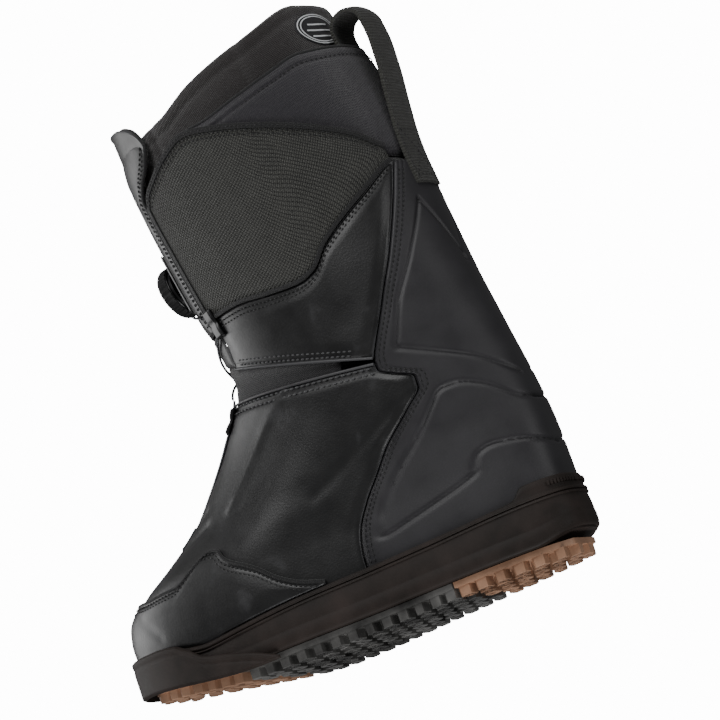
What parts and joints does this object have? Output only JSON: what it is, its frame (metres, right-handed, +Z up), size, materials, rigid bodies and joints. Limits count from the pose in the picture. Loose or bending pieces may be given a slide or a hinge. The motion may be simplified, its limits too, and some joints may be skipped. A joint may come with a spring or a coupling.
{
  "type": "snowboard boot",
  "caption": "High lace-reel snowboard boot for the right foot: lugged cupsole, lasted shell, flexing cuff, folding tongue with a turning reel, and a padded liner.",
  "frame": {"origin": "on the resting plane of the tread, under the middle of the sole", "axes": "+Z up, toe towards -Y, medial side of the right foot towards +X"},
  "size_m": [0.1187, 0.307, 0.3596],
  "materials": {
    "leather": "smooth full-grain, satin",
    "canvas": "coated ballistic weave",
    "moulded": "soft-touch moulded synthetic",
    "knit": "bonded knit over foam",
    "webbing": "woven nylon webbing",
    "liner_felt": "knit-faced closed-cell foam",
    "black_rubber": "matte",
    "lug_rubber": "semi-gloss",
    "gum_rubber": "matte gum",
    "foam": "closed-cell foam",
    "board": "fibre board",
    "plastic": "fine texture",
    "steel": "bright"
  },
  "bodies": {
    "lower_boot": {"cupsole": "black_rubber", "toe_bumper": "black_rubber", "midsole_foam": "foam", "insole_board": "board", "tread_heel": "gum_rubber", "tread_midfoot": "lug_rubber", "tread_toe": "gum_rubber", "lower_lining": "leather", "vamp": "leather", "throat_tongue": "knit", "backstay_lower": "moulded", "toe_cap": "leather", "ankle_gusset": "knit", "guide_vamp_medial": "plastic", "guide_vamp_lateral": "plastic", "guide_toe": "plastic", "lace_lower": "steel", "lace_cross_medial": "steel", "lace_cross_lateral": "steel", "liner_foot": "liner_felt", "footbed": "foam"},
    "cuff": {"cuff_lining": "knit", "woven_panel_medial": "canvas", "woven_panel_lateral": "canvas", "ankle_band_medial": "leather", "ankle_band_lateral": "leather", "backstay_upper": "moulded", "soft_collar": "knit", "pull_loop": "webbing", "tongue_root": "leather", "guide_cuff_medial": "plastic", "guide_cuff_lateral": "plastic", "liner_cuff": "liner_felt", "liner_tongue": "liner_felt", "liner_patch": "knit"},
    "tongue": {"shell_tongue": "leather", "tongue_pad": "knit", "reel_mount": "plastic", "reel_housing": "plastic", "reel_axle_screw": "steel", "lace_upper_medial": "steel", "lace_upper_lateral": "steel"},
    "spool": {"reel_spool": "plastic"},
    "ratchet": {"ratchet_disc": "plastic"},
    "knob": {"reel_knob": "plastic", "knob_grip": "black_rubber", "knob_inlay": "black_rubber"}
  },
  "joints": [
    {"name": "ankle_flex", "type": "hinge", "parent": "lower_boot", "child": "cuff", "pos_m": [0, 0.078, 0.143], "axis": [1, 0, 0], "range_deg": [0, 8], "stiffness_Nm_per_rad": 60, "deforming": ["lace_cross_medial", "lace_cross_lateral"]},
    {"name": "tongue_fold", "type": "hinge", "parent": "cuff", "child": "tongue", "pos_m": [0, -0.03695, 0.2005], "axis": [1, 0, 0], "range_deg": [0, 30]},
    {"name": "spool_turn", "type": "hinge", "parent": "tongue", "child": "spool", "pos_m": [0, -0.04822, 0.2425], "axis": [0, -0.9829, -0.184], "continuous": true},
    {"name": "knob_turn", "type": "hinge", "parent": "tongue", "child": "ratchet", "pos_m": [0, -0.04822, 0.2425], "axis": [0, -0.9829, -0.184], "continuous": true},
    {"name": "knob_pull", "type": "slide", "parent": "ratchet", "child": "knob", "axis": [0, -0.9829, -0.184], "range_m": [0, 0.003]}
  ],
  "couplings": [
    {"joint": "spool_turn", "follows": "knob_turn", "ratio": 1}
  ]
}
